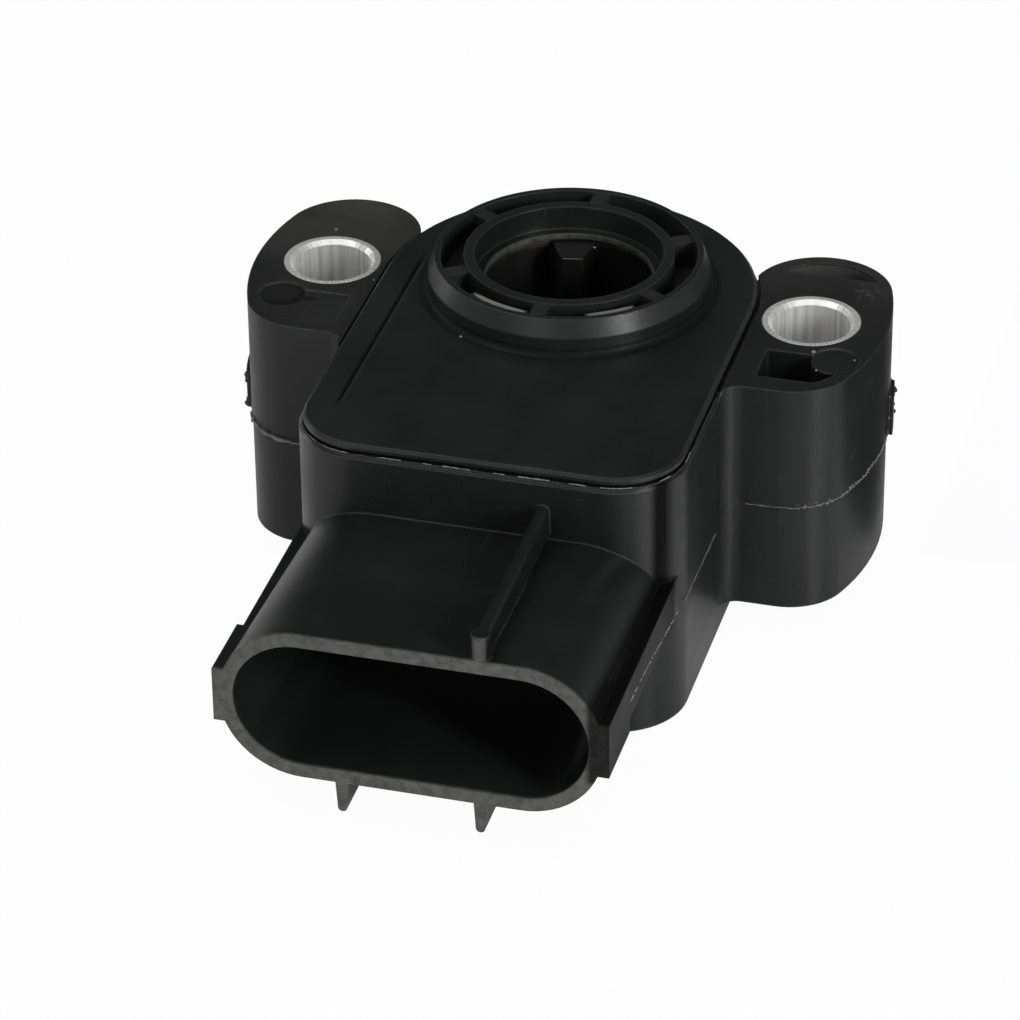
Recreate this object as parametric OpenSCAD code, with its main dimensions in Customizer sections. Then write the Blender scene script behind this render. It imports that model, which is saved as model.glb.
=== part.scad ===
// Throttle position sensor. The origin is on the rotor's axis, in the plane of the two ears'
// top faces. Z points up out of the hub, and the connector faces towards -Y.

/* [Mounting ears] */
// Distance between the two mounting holes
hole_spacing = 40; // [38:0.5:46]
// Height of the ears below the mounting plane
ear_height = 20.2; // [18.8:0.1:21]
// Radius of the round back end of each ear
ear_r = 5.7; // [5.2:0.1:6.4]
// Distance from the hole to the centre of the round back end
ear_back = 4.8; // [3:0.1:7]
// Distance from the hole to the flat front face of each ear
ear_front = 11.3; // [10.6:0.1:13]
// Radius of the ears' outer front corners
ear_corner = 5.2; // [4:0.1:5.4]
// Radius of the long bulge of the ears' outer sides
ear_bulge_r = 22.2; // [19:0.2:30]
// Radius of the hollow between the ear's front face and the body's side
ear_fillet = 1.6; // [0.8:0.1:3]
// Bore radius of the metal bushings
bushing_bore = 3.15; // [2.6:0.05:3.4]
// Wall of the metal bushings
bushing_wall = 0.8; // [0.5:0.05:1]
// Lead-in chamfer of the bushings
bushing_chamfer = 0.35; // [0.1:0.05:0.4]

/* [Body] */
// Distance from the rotor's axis to the front face
body_front = 28.4; // [27.5:0.1:34]
// Depth of the body below the mounting plane
body_depth = 22.5; // [21.9:0.1:26]
// Radius of the two front corners
body_corner = 5.8; // [4:0.1:8]
// Thickness of the side walls
wall = 1.9; // [1.6:0.1:2.2]
// Thickness of the floor
floor_t = 2.2; // [1.6:0.1:3]
// How far the housing's rim lies below the mounting plane
rim_drop = 0.4; // [0.3:0.05:0.6]
// Height of the mould's parting plane below the mounting plane
parting_drop = 10.7; // [9:0.1:12]
// Step of the outline at the parting plane
parting_step = 0.2; // [0.1:0.05:0.3]

/* [Connector] */
// Half of the shroud's width
shroud_half_w = 14.9; // [14:0.1:15]
// Height of the shroud over its outside, at the mouth
shroud_h = 12.8; // [12.4:0.1:13.4]
// How much lower the shroud's top is at the body than at the mouth
shroud_draft = 0.55; // [0.3:0.05:0.7]
// Wall of the shroud
shroud_wall = 1.1; // [0.9:0.05:1.2]
// Length of the shroud in front of the body
shroud_len = 18.3; // [16.5:0.1:24]
// Depth of the mouth
mouth_depth = 15.4; // [14.5:0.1:16.5]
// Depth of the connector's centre below the mounting plane
shroud_drop = 11.2; // [10.8:0.1:11.4]
// Width of a rib or fin on the shroud
rib_w = 1.05; // [0.8:0.05:1.4]
// Height of the rib on top of the shroud
rib_h = 1.9; // [1.2:0.1:2.4]
// Distance of the rib and the fins from the middle
rib_x = 5.4; // [4:0.1:7]
// Width of the key rails on the shroud's two ends
rail_w = 3.4; // [2.6:0.1:4.4]
// How far a rail stands proud of the shroud
rail_proud = 0.25; // [0.15:0.05:0.35]
// Width of a rail's front pad
pad_w = 4.6; // [3.6:0.1:6]
// How far a rail's front pad stands proud of the shroud
pad_proud = 0.45; // [0.4:0.05:0.7]
// Length of the front pad
pad_len = 6.2; // [4:0.1:9]

/* [Cover and hub] */
// Height of the cover's top above the mounting plane
cover_top = 0.5; // [0.4:0.05:0.7]
// How far the cover's edge lies inside the body's outline
cover_inset = 0.35; // [0.2:0.05:0.5]
// Bevel on the cover's top edge
cover_bevel = 0.2; // [0.1:0.05:0.25]
// Depth of the cover's plug below the mounting plane
plug_depth = 1.6; // [1.4:0.1:2.2]
// Radius of the hub's outer wall
hub_r = 11.4; // [11.2:0.05:12]
// Height of the hub's top above the mounting plane
hub_top = 3.5; // [3.2:0.1:4]
// Height of the hub's lead-in chamfer
hub_chamfer_h = 1.45; // [1:0.05:1.6]
// Radial width of the hub's lead-in chamfer
hub_chamfer_w = 0.55; // [0.3:0.05:0.6]
// Radius of the hollow at the hub's foot
hub_fillet = 0.5; // [0.3:0.05:0.7]
// Thickness of the hub's outer wall
hub_wall = 1.05; // [0.9:0.05:1.3]
// Width of the pockets round the hub
pocket_w = 1.85; // [1.4:0.05:2]
// Thickness of the wall between the pockets and the counterbore
ring_wall = 0.9; // [0.7:0.05:1.1]
// Depth of the counterbore below the hub's top
counterbore_depth = 2.05; // [1.6:0.05:2.2]
// Width of the thin lip over the rotor
lip_w = 0.85; // [0.7:0.05:1.2]
// Thickness of that lip
lip_t = 0.45; // [0.3:0.05:0.6]
// Width of the six spokes in the hub
spoke_w = 1.3; // [0.8:0.1:1.8]
// Depth of the pockets between the spokes
pocket_depth = 2.6; // [1.8:0.1:2.6]

/* [Rotor] */
// How far the rotor's cup reaches outside the counterbore
cup_overlap = 0.3; // [0.2:0.05:0.4]
// Wall of the rotor's cup
rotor_wall = 0.7; // [0.6:0.05:0.8]
// Radial running clearance of the rotor in the cover
running_gap = 0.06; // [0.03:0.01:0.1]
// Width of the flange that carries the wipers, outside the cup
flange_w = 4.5; // [4.2:0.1:4.8]
// Room between the flange and the housing's wall
flange_room = 1.2; // [0.9:0.1:1.5]
// Thickness of the flange
flange_t = 1.4; // [1.2:0.1:1.6]
// How far a drive lug reaches in from the cup's wall
lug_depth = 3.3; // [2.6:0.1:3.8]
// Width of a drive lug at its tip
lug_tip_w = 1.7; // [1.2:0.1:2.4]
// Width of a drive lug at the cup's wall
lug_root_w = 3.7; // [3:0.1:4.6]
// Height of the lugs' tops above the mounting plane
lug_top = 0.7; // [0.4:0.05:0.8]
// Direction of the drive lug at rest, in degrees from +X
lug_angle = 101.6; // [90:0.2:120]
// Turning range of the rotor, in degrees
travel = 100; // [80:1:104]
// Radius of the pivot post in the floor
post_r = 1.96; // [1.6:0.02:2.2]

/* [Electrical parts] */
// Thickness of the resistor board
board_t = 1; // [0.8:0.05:1.3]
// Room between the board's round end and the housing's wall
board_room = 1.6; // [1.2:0.1:2.2]
// Distance between neighbouring terminals
pin_pitch = 5.5; // [5:0.1:6]
// Width of a terminal blade
blade_w = 2.3; // [1.8:0.1:2.8]
// Thickness of a terminal blade
blade_t = 0.64; // [0.5:0.02:0.8]
// How far a blade's tip lies behind the mouth
blade_recess = 8.8; // [8.4:0.1:9.6]
// Radius of a rivet's shank
rivet_r = 0.7; // [0.5:0.05:0.8]
// Diameter of the return spring's wire
wire_d = 0.9; // [0.7:0.05:1]
// Turns of the return spring
spring_turns = 6; // [4:1:7]

/* [Hidden] */
$fn = 96;
PINS = ["supply", "signal", "idle", "ground"];
seat_gap = 0.02;
eps = 0.05;
// Every radius follows from the hub's, through walls and rooms
pocket_r = hub_r - hub_wall;
ring_r = pocket_r - pocket_w;
counterbore_r = ring_r - ring_wall;
lip_r = counterbore_r - lip_w;
rotor_r = counterbore_r + cup_overlap;
flange_r = rotor_r + flange_w;
cavity_r = flange_r + flange_room;
body_r = cavity_r + wall;
board_r = cavity_r - board_room;
lug_tip_r = rotor_r - rotor_wall - lug_depth;
track_r = flange_r - 3.2;
ear_x = hole_spacing / 2;
bushing_r = bushing_bore + bushing_wall;
rebate = wall / 2;
rib_post_r = 0.75;
rim_bevel = 0.2;
gate_w = 3;
gate_h = 3.4;
gate_proud = 0.35;
mark_r = 1.9;
mark_depth = 0.15;
mark_right = [ear_x + 3.1, -5.6];
mark_left = [-ear_x - 2.3, -6.2];
ear_pocket_y = 1.9 - ear_front;
ear_pocket_l = 4.2;
pocket_deep = 14;
floor_z = floor_t - body_depth;
mouth_y = -body_front - shroud_len;
mouth_floor_y = mouth_y + mouth_depth;
shroud_z = -shroud_drop;
shroud_r = shroud_h / 2;
mouth_r = shroud_r - shroud_wall;
mouth_draft = shroud_draft * mouth_depth / shroud_len;
wall_in_y = wall - body_front;
// The stack on the floor, from the board up to the rotor's flange
board_top = floor_z + board_t;
washer_t = 0.6;
wiper_room = 3.3;
flange_bottom = board_top + wiper_room;
flange_top = flange_bottom + flange_t;
pivot_r = post_r + running_gap;
pivot_hub_r = pivot_r + 1.6;
pivot_bottom = board_top + washer_t + seat_gap;
pivot_bore_top = flange_bottom + 1.1;
cup_floor = flange_top + 0.7;
rotor_bore = rotor_r + running_gap;
skirt_r = rotor_bore + 1.65;
skirt_bottom = -plug_depth - 2.4;
lip_top = hub_top - counterbore_depth;
lip_bottom = lip_top - lip_t;
seal_t = 0.6;
rotor_top = lip_bottom - seal_t - 2 * seat_gap;
pocket_floor = hub_top - pocket_depth;
// The stop arm turns between two posts
arm_r = flange_r + 3;
arm_w = 4;
stop_r = arm_r - 1;
stop_post_r = 1.5;
arm_rest = -140;
stop_gap = 0.8;
stop_half = asin((arm_w / 2 + stop_post_r) / stop_r) + stop_gap;
// Feet of the terminals on the board
foot_back_y = -18.9;
leg_y = wall_in_y + 1.9;
rivet_y = -20.8;
board_front_y = -22.6;
board_half_w = 10.9;
board_hole_r = pivot_hub_r + 1;
peg_r = 1;
peg_x = 8.6;
peg_y = -14.6;
spring_r = rotor_r + 0.45 + wire_d / 2;
spring_low = flange_top + 0.1 + wire_d / 2;
spring_high = skirt_bottom - 0.3 - wire_d / 2;
// The lower leg ends over the flange, the upper one beyond its edge
leg_reach = 6.6;
upper_leg = sqrt(pow(flange_r + 0.5, 2) - pow(spring_r, 2));
leg_peg_r = 0.7;

function pin_x(i) = (i - (len(PINS) - 1) / 2) * pin_pitch;

// Plan outline of the body, c inside its true edge: a round back and two round front corners
module body_outline(c) {
    half = body_r - c;
    corner = body_corner - c;
    front = c - body_front;
    circle(half);
    translate([-half, front + corner])
        square([2 * half, -front - corner]);
    translate([corner - half, front])
        square([2 * (half - corner), 2 * corner]);
    for (side = [-1, 1])
        translate([side * (half - corner), front + corner])
            circle(corner);
}

// The same outline with sides that lean in by b over the height h
module bevelled_body(c, h, b) {
    half = body_r - c;
    corner = body_corner - c;
    front = c - body_front;
    cylinder(h = h, r1 = half, r2 = half - b);
    for (side = [-1, 1])
        translate([side * (half - corner), front + corner])
            cylinder(h = h, r1 = corner, r2 = corner - b);
    rotate([90, 0, 0])
        linear_extrude(-front - corner)
            polygon([[-half, 0], [half, 0], [half - b, h], [b - half, h]]);
    translate([corner - half, 0, 0])
        rotate([90, 0, 90])
            linear_extrude(2 * (half - corner))
                polygon([[front, 0], [0, 0], [0, h], [front + b, h]]);
}

// Plan outline of the right ear, c inside its true edge. The outer side is one long bulge that
// runs into the front corner and into the round back end.
module ear_outline(c) {
    inner_x = body_r - 3;
    bulge_x = ear_x + ear_r + 0.5 - ear_bulge_r;
    front_y = ear_corner - ear_front;
    front_x = bulge_x + sqrt(pow(ear_bulge_r - ear_corner, 2) - pow(front_y, 2));
    back_x = bulge_x + sqrt(pow(ear_bulge_r - ear_r, 2) - pow(ear_back, 2));
    reach = 2;
    translate([back_x, ear_back])
        circle(ear_r - c);
    translate([front_x, front_y])
        circle(ear_corner - c);
    intersection() {
        translate([bulge_x, 0])
            circle(ear_bulge_r - c);
        polygon([[inner_x, front_y], [front_x, front_y],
                 [front_x, front_y] + reach * [front_x - bulge_x, front_y],
                 [back_x, ear_back] + reach * [back_x - bulge_x, ear_back],
                 [back_x, ear_back], [inner_x, ear_back]]);
    }
    translate([inner_x, c - ear_front])
        square([front_x - inner_x, ear_corner]);
    difference() {
        translate([body_r - eps, c - ear_front - ear_fillet])
            square([ear_fillet + eps, ear_fillet + eps]);
        translate([body_r + ear_fillet, c - ear_front - ear_fillet])
            circle(ear_fillet);
    }
}

// One ear: the mould halves meet in a small step, and a gate left a low mark above it
module ear(side) {
    gate_y = side < 0 ? -6.4 : 2.4;
    mirror([side < 0 ? 1 : 0, 0, 0]) {
        translate([0, 0, -parting_drop])
            linear_extrude(parting_drop)
                ear_outline(0);
        translate([0, side < 0 ? -2 * parting_step : 0, -ear_height])
            linear_extrude(ear_height - parting_drop + eps)
                ear_outline(parting_step);
        translate([0, 0, -parting_drop - 0.4])
            linear_extrude(gate_h)
                intersection() {
                    ear_outline(-gate_proud);
                    translate([ear_x + gate_w, gate_y])
                        square([2 * ear_r, gate_w]);
                }
    }
}

// Extrudes a drawing in X and Z from y_back towards the mouth
module along_connector(y_back, length) {
    translate([0, y_back, shroud_z])
        rotate([90, 0, 0])
            linear_extrude(length)
                children();
}

// Stadium that grows from r_back at y_back to r_front at y_front
module drafted_stadium(half_w, r_back, r_front, y_back, y_front) {
    centre_x = half_w - r_front;
    for (side = [-1, 1])
        translate([side * centre_x, y_back, shroud_z])
            rotate([90, 0, 0])
                cylinder(h = y_back - y_front, r1 = r_back, r2 = r_front);
    translate([-centre_x, 0, shroud_z])
        rotate([90, 0, 90])
            linear_extrude(2 * centre_x)
                polygon([[y_back, -r_back], [y_back, r_back], [y_front, r_front], [y_front, -r_front]]);
}

module connector_outside() {
    root = 4;
    full = shroud_len + root;
    root_y = root - body_front;
    root_r = shroud_r - shroud_draft * full / shroud_len;
    fin_h = ear_height - shroud_drop;
    drafted_stadium(shroud_half_w, root_r, shroud_r, root_y, mouth_y);
    // Rib with a round top, which climbs with the shroud, and its front post
    slope = atan(shroud_draft / shroud_len);
    translate([rib_x, mouth_y + rib_post_r, shroud_z + shroud_r + rib_h])
        rotate([90 - slope, 0, 180])
            linear_extrude(full - rib_post_r) {
                translate([-rib_w / 2, -rib_h - 0.6])
                    square([rib_w, rib_h + 0.6 - rib_w / 2]);
                translate([0, -rib_w / 2])
                    circle(rib_w / 2);
            }
    translate([rib_x, mouth_y + rib_post_r + eps, shroud_z + shroud_r - 0.5])
        cylinder(h = rib_h + 0.6, r = rib_post_r);
    // Fins below, with round lower edges
    tip_r = rib_w * 0.35;
    along_connector(root_y, full)
        for (side = [-1, 1])
            translate([side * rib_x, 0]) {
                polygon([[-rib_w * 0.55, -root_r + 0.6], [rib_w * 0.55, -root_r + 0.6],
                         [tip_r, tip_r - fin_h], [-tip_r, tip_r - fin_h]]);
                translate([0, tip_r - fin_h])
                    circle(tip_r);
            }
    // Key rails and their front pads
    along_connector(root_y, full)
        square([2 * (shroud_half_w + rail_proud), rail_w], center = true);
    along_connector(mouth_y + pad_len, pad_len)
        square([2 * (shroud_half_w + pad_proud), pad_w], center = true);
}

// Deep front pocket and shallow crescent in the right ear's top
module right_ear_pockets() {
    intersection() {
        translate([body_r + 2.1, ear_pocket_y, -pocket_deep])
            cube([8, ear_pocket_l, pocket_deep + eps]);
        translate([0, 0, -pocket_deep - 1])
            linear_extrude(pocket_deep + 2)
                ear_outline(1.2);
    }
    translate([0, 0, -1.3])
        linear_extrude(1.3 + eps)
            intersection() {
                translate([ear_x, ear_back])
                    circle(ear_r - 1);
                translate([body_r, bushing_r + 3.4])
                    square([2 * ear_r, ear_r]);
            }
}

// The left ear has only a very shallow recess there
module left_ear_recess() {
    mirror([1, 0, 0])
        intersection() {
            translate([body_r + 1.4, ear_pocket_y, -0.1])
                cube([8, ear_pocket_l, 1]);
            translate([0, 0, -1])
                linear_extrude(2)
                    ear_outline(1.2);
        }
}

// Round ejector mark in an ear's top
module ejector_mark(x, y) {
    translate([x, y, -mark_depth])
        cylinder(h = 1, r = mark_r);
}

// Blade, leg and foot of one terminal, grown by g on every side for its slot
module terminal_shape(g) {
    tip_y = mouth_y + blade_recess;
    taper = 1.1;
    half = blade_w / 2 + g;
    translate([0, 0, shroud_z - blade_t / 2 - g])
        linear_extrude(blade_t + 2 * g)
            polygon([[-half * 0.45, tip_y], [half * 0.45, tip_y], [half, tip_y + taper],
                     [half, leg_y], [-half, leg_y], [-half, tip_y + taper]]);
    translate([-half, leg_y - blade_t - g, board_top])
        cube([2 * half, blade_t + 2 * g, shroud_z + blade_t / 2 + g - board_top]);
    translate([-half, leg_y - blade_t - g, board_top])
        cube([2 * half, foot_back_y - leg_y + blade_t + g, blade_t + g]);
}

module housing() {
    color([0.07, 0.075, 0.075])
    union() {
        difference() {
            union() {
                translate([0, 0, -body_depth])
                    linear_extrude(body_depth - rim_drop - rim_bevel)
                        body_outline(0);
                translate([0, 0, -rim_drop - rim_bevel])
                    bevelled_body(0, rim_bevel, 0.15);
                difference() {
                    for (side = [-1, 1])
                        ear(side);
                    translate([0, 0, -rim_drop])
                        linear_extrude(rim_drop + eps)
                            body_outline(0);
                }
                connector_outside();
            }
            translate([0, 0, floor_z])
                linear_extrude(body_depth)
                    body_outline(wall);
            translate([0, 0, -plug_depth])
                linear_extrude(plug_depth + eps)
                    body_outline(rebate);
            drafted_stadium(shroud_half_w - shroud_wall, mouth_r - mouth_draft, mouth_r,
                            mouth_floor_y, mouth_y - eps);
            for (side = [-1, 1])
                translate([side * ear_x, 0, -ear_height - eps])
                    cylinder(h = ear_height + 2 * eps, r = bushing_r + seat_gap);
            for (i = [0 : len(PINS) - 1])
                translate([pin_x(i), 0, 0])
                    terminal_shape(seat_gap);
            right_ear_pockets();
            left_ear_recess();
            ejector_mark(mark_right[0], mark_right[1]);
            ejector_mark(mark_left[0], mark_left[1]);
        }
        // The stub that the right ear's ejector pushed on
        translate([mark_right[0], mark_right[1], -pocket_deep - 0.2])
            cylinder(h = pocket_deep + 0.2 - mark_depth, r = mark_r - 0.05);
        // Pivot post on its boss
        translate([0, 0, floor_z - eps])
            cylinder(h = board_t + eps, r = pivot_hub_r + 0.6);
        translate([0, 0, floor_z])
            cylinder(h = pivot_bore_top - 0.3 - floor_z, r = post_r);
        // Stop posts for the rotor's arm
        for (a = [arm_rest - stop_half, arm_rest + travel + stop_half])
            rotate(a)
                translate([stop_r, 0, floor_z - eps])
                    cylinder(h = flange_top - floor_z + 0.6, r = stop_post_r);
        // Pegs with formed heads that hold the board down
        for (side = [-1, 1])
            translate([side * peg_x, peg_y, 0]) {
                translate([0, 0, floor_z - eps])
                    cylinder(h = board_t + eps, r = peg_r);
                translate([0, 0, board_top])
                    cylinder(h = 0.7, r1 = peg_r + 0.6, r2 = peg_r);
            }
        // Anchor rib that holds the spring's upper leg
        rotate(arm_rest + 180)
            translate([spring_r + wire_d / 2 + seat_gap, upper_leg - 0.6, floor_z - eps])
                cube([1.6, 1.2, spring_high + wire_d - floor_z]);
    }
}

module hub_cover() {
    spoke_at = 30;
    color([0.09, 0.1, 0.1])
    difference() {
        union() {
            translate([0, 0, -plug_depth])
                linear_extrude(plug_depth + eps)
                    body_outline(rebate + seat_gap);
            linear_extrude(cover_top - cover_bevel)
                body_outline(cover_inset);
            translate([0, 0, cover_top - cover_bevel])
                bevelled_body(cover_inset, cover_bevel, cover_bevel);
            rotate_extrude()
                difference() {
                    polygon([[0, -plug_depth], [hub_r + hub_fillet, -plug_depth],
                             [hub_r + hub_fillet, cover_top], [hub_r + hub_fillet, cover_top + hub_fillet],
                             [hub_r, cover_top + hub_fillet], [hub_r, hub_top - hub_chamfer_h],
                             [hub_r - hub_chamfer_w, hub_top], [0, hub_top]]);
                    translate([hub_r + hub_fillet, cover_top + hub_fillet])
                        circle(hub_fillet);
                }
            translate([0, 0, skirt_bottom])
                cylinder(h = -plug_depth - skirt_bottom + eps, r = skirt_r);
        }
        // Pockets round the hub, parted by six spokes
        difference() {
            translate([0, 0, pocket_floor])
                cylinder(h = pocket_depth + eps, r = pocket_r);
            translate([0, 0, pocket_floor - eps])
                cylinder(h = pocket_depth + 3 * eps, r = ring_r);
            for (i = [0 : 5])
                rotate(spoke_at + 60 * i)
                    translate([ring_r - 1, -spoke_w / 2, pocket_floor - eps])
                        cube([pocket_r - ring_r + 2, spoke_w, pocket_depth - 0.2]);
            // Low ledges in the two front pockets
            for (span = [[-127, -95], [-68, -43]])
                pocket_ledge(span[0], span[1]);
        }
        translate([0, 0, lip_top])
            cylinder(h = counterbore_depth + eps, r = counterbore_r);
        translate([0, 0, lip_bottom - eps])
            cylinder(h = lip_t + 2 * eps, r = lip_r);
        translate([0, 0, skirt_bottom - eps])
            cylinder(h = lip_bottom - skirt_bottom + eps, r = rotor_bore);
    }
}

// A ledge in a hub pocket, between two directions in degrees
module pocket_ledge(from, to) {
    ledge_h = pocket_depth - 0.25;
    reach = pocket_r + 1;
    intersection() {
        translate([0, 0, pocket_floor - eps])
            difference() {
                cylinder(h = ledge_h, r = pocket_r + 0.3);
                translate([0, 0, -eps])
                    cylinder(h = ledge_h + 2 * eps, r = pocket_r - 0.95);
            }
        linear_extrude(hub_top)
            polygon([[0, 0], reach * [cos(from), sin(from)],
                     1.2 * reach * [cos((from + to) / 2), sin((from + to) / 2)],
                     reach * [cos(to), sin(to)]]);
    }
}

module bushing(side) {
    color([0.78, 0.79, 0.8])
        translate([side * ear_x, 0, -ear_height])
            rotate_extrude()
                polygon([[bushing_bore + bushing_chamfer, 0], [bushing_r, 0], [bushing_r, ear_height],
                         [bushing_bore + bushing_chamfer, ear_height],
                         [bushing_bore, ear_height - bushing_chamfer], [bushing_bore, bushing_chamfer]]);
}

// A wedge that reaches in from the cup's wall, for the driving tongue to push on
module drive_lug() {
    root_r = rotor_r - rotor_wall - 0.1;
    translate([0, 0, cup_floor - eps])
        linear_extrude(lug_top - cup_floor + eps)
            polygon([[lug_tip_r, -lug_tip_w / 2], [root_r, -lug_root_w / 2],
                     [root_r, lug_root_w / 2], [lug_tip_r, lug_tip_w / 2]]);
}

module rotor() {
    inner = rotor_r - rotor_wall;
    color([0.13, 0.13, 0.13])
    union() {
        rotate_extrude()
            polygon([[inner, rotor_top], [rotor_r, rotor_top], [rotor_r, flange_top],
                     [flange_r, flange_top], [flange_r, flange_bottom],
                     [pivot_hub_r, flange_bottom], [pivot_hub_r, pivot_bottom],
                     [pivot_r, pivot_bottom], [pivot_r, pivot_bore_top],
                     [0, pivot_bore_top], [0, cup_floor], [inner, cup_floor]]);
        // Two lugs, which are narrower above the cup's rim and so clear the seal ring
        intersection() {
            for (a = [lug_angle, lug_angle + 180])
                rotate(a)
                    drive_lug();
            rotate_extrude()
                polygon([[0, cup_floor - 1], [inner + 0.2, cup_floor - 1], [inner + 0.2, rotor_top - 0.2],
                         [inner - 0.1, rotor_top - 0.2], [inner - 0.1, lug_top + 1], [0, lug_top + 1]]);
        }
        // Stop arm
        difference() {
            rotate(arm_rest)
                translate([flange_r - 2, -arm_w / 2, flange_bottom])
                    cube([arm_r - flange_r + 2, arm_w, flange_t]);
            translate([0, 0, flange_bottom - 1])
                cylinder(h = flange_t + 2, r = flange_r - 1);
        }
        // Peg that the spring's lower leg pushes on
        rotate(arm_rest + 180)
            translate([spring_r + wire_d / 2 + leg_peg_r + seat_gap, 1 - leg_reach, flange_top - eps])
                cylinder(h = spring_low + wire_d - flange_top, r = leg_peg_r);
    }
}

// A spring strip under the flange with fingers that bend down to the board's tracks
module wiper(fingers) {
    sheet = 0.25;
    base_l = 3.4;
    reach = 5.6;
    toe = 0.7;
    finger_w = 0.7;
    step = finger_w + 0.4;
    plate_w = fingers * step + 0.9;
    drop = wiper_room - 0.05;
    translate([track_r - plate_w / 2, 0.2 - base_l, flange_bottom - sheet])
        cube([plate_w, base_l, sheet]);
    for (i = [0 : fingers - 1])
        translate([track_r + (i - (fingers - 1) / 2) * step - finger_w / 2, 0, flange_bottom])
            rotate([90, 0, 90])
                linear_extrude(finger_w)
                    polygon([[-0.4, -sheet], [-0.4, -0.05], [0.2, -0.05], [reach, sheet - drop],
                             [reach + toe, 1.8 * sheet - drop], [reach + toe, 0.8 * sheet - drop],
                             [reach, -drop], [0, -sheet]]);
}

module signal_wiper() {
    color([0.8, 0.66, 0.35])
        rotate(20)
            wiper(3);
}

module idle_wiper() {
    color([0.8, 0.66, 0.35])
        rotate(200)
            wiper(2);
}

// Square rubber ring between the rotor's rim and the cover's lip
module rotor_seal() {
    color([0.16, 0.12, 0.11])
        translate([0, 0, rotor_top + seat_gap])
            rotate_extrude()
                translate([rotor_r - rotor_wall + 0.05, 0])
                    square([rotor_wall - 0.05, seal_t]);
}

module thrust_washer() {
    color([0.85, 0.83, 0.76])
        translate([0, 0, board_top])
            difference() {
                cylinder(h = washer_t, r = pivot_hub_r);
                translate([0, 0, -eps])
                    cylinder(h = washer_t + 2 * eps, r = pivot_r + 0.1);
            }
}

// Return spring round the rotor's cup: a helix of six-sided sections with a straight leg at each end
module return_spring() {
    per_turn = 18;
    sides = 6;
    steps = spring_turns * per_turn;
    rise = (spring_high - spring_low) / steps;
    from = arm_rest + 180;
    frames = [
        [from, spring_low, -leg_reach],
        for (i = [0 : steps]) [from + i * 360 / per_turn, spring_low + i * rise, 0],
        [from, spring_high, upper_leg]];
    points = [for (f = frames, j = [0 : sides - 1])
        let (b = j * 360 / sides, r = spring_r + wire_d / 2 * cos(b))
            [r * cos(f[0]) - f[2] * sin(f[0]), r * sin(f[0]) + f[2] * cos(f[0]),
             f[1] + wire_d / 2 * sin(b)]];
    last = len(frames) - 1;
    skin = [for (i = [0 : last - 1], j = [0 : sides - 1])
        let (k = (j + 1) % sides, p = i * sides, q = p + sides)
            each [[p + j, q + j, q + k], [p + j, q + k, p + k]]];
    caps = [[for (j = [0 : sides - 1]) j], [for (j = [sides - 1 : -1 : 0]) last * sides + j]];
    color([0.72, 0.72, 0.74])
        polyhedron(points, concat(skin, caps));
}

module resistor_board() {
    color([0.86, 0.85, 0.8])
        translate([0, 0, floor_z])
            linear_extrude(board_t)
                difference() {
                    union() {
                        circle(board_r);
                        translate([-board_half_w, board_front_y])
                            square([2 * board_half_w, -board_front_y - 7]);
                    }
                    circle(board_hole_r);
                    for (side = [-1, 1])
                        translate([side * peg_x, peg_y])
                            circle(peg_r + seat_gap);
                    for (i = [0 : len(PINS) - 1])
                        translate([pin_x(i), rivet_y])
                            circle(rivet_r + seat_gap);
                }
}

module terminal(i) {
    color([0.8, 0.78, 0.7])
        translate([pin_x(i), 0, 0])
            difference() {
                terminal_shape(0);
                translate([0, rivet_y, floor_z])
                    cylinder(h = 3, r = rivet_r + seat_gap);
            }
}

module rivet(i) {
    head_r = rivet_r + 0.35;
    foot_top = board_top + blade_t;
    color([0.75, 0.6, 0.35])
        translate([pin_x(i), rivet_y, 0]) {
            translate([0, 0, floor_z])
                cylinder(h = foot_top - floor_z + eps, r = rivet_r);
            translate([0, 0, foot_top])
                cylinder(h = 0.4, r1 = head_r, r2 = head_r - 0.2);
        }
}

housing();
hub_cover();
bushing(-1);  // bushing_left
bushing(1);  // bushing_right
rotor();
signal_wiper();
idle_wiper();
rotor_seal();
thrust_washer();
return_spring();
resistor_board();
terminal(0);  // terminal_supply
terminal(1);  // terminal_signal
terminal(2);  // terminal_idle
terminal(3);  // terminal_ground
rivet(0);  // rivet_supply
rivet(1);  // rivet_signal
rivet(2);  // rivet_idle
rivet(3);  // rivet_ground
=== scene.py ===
# %% [markdown]
# # A throttle position sensor
#
# This file dresses a small engine sensor: a black moulded housing with an oval connector, a welded
# cover with a round hub, two steel bushings and a rotor inside. The solids come from CAD. Blender adds
# the finishes, the traces of moulding and welding, the light and the camera. All lengths are metres.

# %% Load the frame
import math
import random

import bmesh
import bpy
from mathutils import Matrix, Vector


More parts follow.
